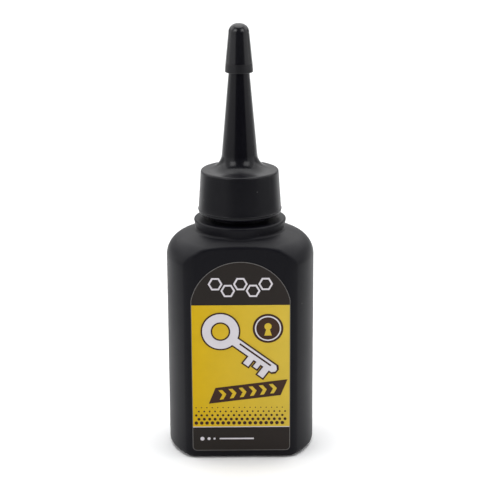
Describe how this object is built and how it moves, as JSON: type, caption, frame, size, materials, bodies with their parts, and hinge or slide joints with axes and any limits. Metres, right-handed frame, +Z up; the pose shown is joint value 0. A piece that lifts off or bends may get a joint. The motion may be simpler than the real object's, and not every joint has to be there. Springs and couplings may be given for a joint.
{
  "type": "graphite lock lubricant bottle",
  "caption": "Small black squeeze bottle for dry graphite, with flat label panels, a domed shoulder, a screw-on conical spout and a push-on tip cap.",
  "frame": {"origin": "centre of the base, on the surface the bottle stands on", "axes": "+Z up along the neck and spout; the flat label panel faces -Y"},
  "size_m": [0.04, 0.0287, 0.1169],
  "materials": {
    "bottle_plastic": "satin blow-moulded polyethylene",
    "label_film": "printed gloss film",
    "graphite": "loose fine powder",
    "washer_foam": "soft closed foam",
    "nozzle_plastic": "smooth injection-moulded polyethylene"
  },
  "bodies": {
    "bottle": {"bottle": "bottle_plastic", "front_label": "label_film", "graphite_powder": "graphite"},
    "washer": {"sealing_washer": "washer_foam"},
    "nozzle": {"nozzle": "nozzle_plastic"},
    "tip_cap": {"tip_cap": "nozzle_plastic"}
  },
  "joints": [
    {"name": "nozzle_lift", "type": "slide", "parent": "bottle", "child": "washer", "axis": [0, 0, 1], "range_m": [0, 0.0048]},
    {"name": "nozzle_turn", "type": "hinge", "parent": "washer", "child": "nozzle", "pos_m": [0, 0, 0.0757], "axis": [0, 0, 1], "range_deg": [0, 540]},
    {"name": "tip_cap_pull", "type": "slide", "parent": "nozzle", "child": "tip_cap", "axis": [0, 0, 1], "range_m": [0, 0.012]}
  ],
  "couplings": [
    {"joint": "nozzle_lift", "follows": "nozzle_turn", "m_per_rad": 0.00050532}
  ]
}
